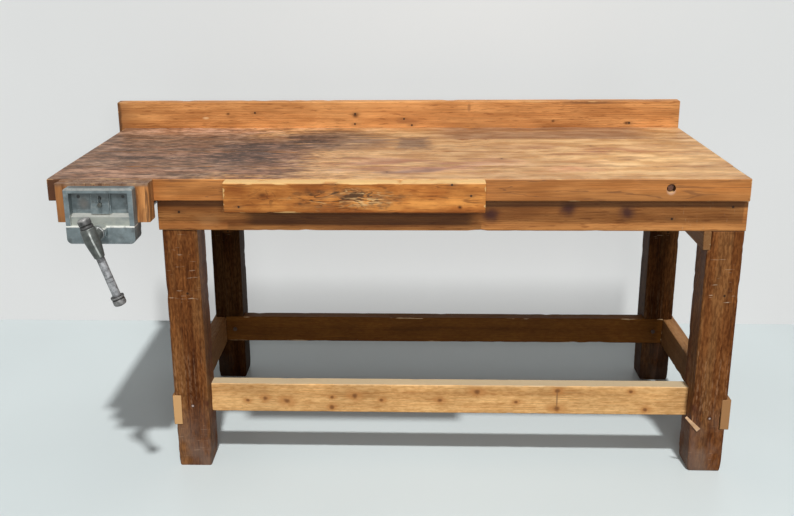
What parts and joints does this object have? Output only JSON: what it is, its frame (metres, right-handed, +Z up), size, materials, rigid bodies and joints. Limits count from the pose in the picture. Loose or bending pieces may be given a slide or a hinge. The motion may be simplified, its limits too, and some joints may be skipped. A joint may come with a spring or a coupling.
{
  "type": "woodworking bench",
  "caption": "Heavy wooden workbench with a plank top, backsplash, square legs and stretchers, and a cast-iron screw vise with wooden liners at its left front corner.",
  "frame": {"origin": "middle of the bench's overall footprint, on the floor", "axes": "+X along the bench to the right as seen from the front, +Y from the front edge to the back, +Z up"},
  "size_m": [1.869, 0.9158, 0.95],
  "materials": {
    "worn_top": "worn, oiled and stained pine",
    "honey_pine": "old varnished pine",
    "pale_pine": "planed pine",
    "dark_pine": "dark stained softwood",
    "vise_paint": "worn grey-blue paint on cast iron",
    "dark_iron": "dull dark iron",
    "bright_steel": "turned steel",
    "galvanised": "dull galvanised pipe"
  },
  "bodies": {
    "bench": {"top_plank_1": "worn_top", "top_plank_2": "worn_top", "top_plank_3": "worn_top", "top_plank_4": "worn_top", "backsplash": "honey_pine", "left_upper_rail": "honey_pine", "right_upper_rail": "honey_pine", "rear_stretcher": "honey_pine", "packing_block": "honey_pine", "rear_jaw_liner": "honey_pine", "front_cleat": "pale_pine", "left_side_stretcher": "pale_pine", "right_side_stretcher": "pale_pine", "front_stretcher": "pale_pine", "front_left_leg": "dark_pine", "rear_left_leg": "dark_pine", "front_right_leg": "dark_pine", "rear_right_leg": "dark_pine", "front_apron": "dark_pine", "rear_apron": "dark_pine", "vise_body": "vise_paint", "backsplash_screw_1": "dark_iron", "backsplash_screw_2": "dark_iron", "backsplash_screw_3": "dark_iron", "backsplash_screw_4": "dark_iron", "front_left_lag_screw": "dark_iron", "front_right_lag_screw": "dark_iron", "rear_left_lag_screw": "dark_iron", "rear_right_lag_screw": "dark_iron", "vise_lag_screw_front_left": "dark_iron", "vise_lag_screw_rear_left": "dark_iron", "vise_lag_screw_front_right": "dark_iron", "vise_lag_screw_rear_right": "dark_iron", "tie_bolt_1": "bright_steel", "tie_bolt_2": "bright_steel", "tie_bolt_3": "bright_steel", "tie_nut_1": "bright_steel", "tie_nut_2": "bright_steel", "tie_nut_3": "bright_steel", "vise_nut": "bright_steel", "rear_liner_screw_left": "bright_steel", "rear_liner_screw_right": "bright_steel"},
    "vise_front": {"front_jaw": "vise_paint", "front_jaw_liner": "honey_pine", "front_liner_screw_left": "bright_steel", "front_liner_screw_right": "bright_steel", "left_guide_rod": "bright_steel", "right_guide_rod": "bright_steel", "left_yoke_nut": "bright_steel", "right_yoke_nut": "bright_steel", "rear_yoke": "vise_paint", "screw_garter": "dark_iron"},
    "screw": {"lead_screw": "bright_steel", "handle_hub": "dark_iron"},
    "handle": {"handle_pipe": "galvanised", "upper_pipe_cap": "galvanised", "lower_pipe_cap": "galvanised"},
    "dog": {"vise_dog": "vise_paint", "dog_thumb_screw": "dark_iron"}
  },
  "joints": [
    {"name": "jaw_slide", "type": "slide", "parent": "bench", "child": "vise_front", "axis": [0, -1, 0], "range_m": [0, 0.178]},
    {"name": "screw_turn", "type": "hinge", "parent": "vise_front", "child": "screw", "pos_m": [-0.7525, -0.43695, 0.747], "axis": [0, -1, 0], "range_deg": [0, 5040]},
    {"name": "handle_slide", "type": "slide", "parent": "screw", "child": "handle", "axis": [-0.3173, 0, 0.9483], "range_m": [0, 0.107]},
    {"name": "dog_slide", "type": "slide", "parent": "vise_front", "child": "dog", "axis": [0, 0, 1], "range_m": [0, 0.027]}
  ],
  "couplings": [
    {"joint": "jaw_slide", "follows": "screw_turn", "m_per_rad": 0.0020213}
  ]
}
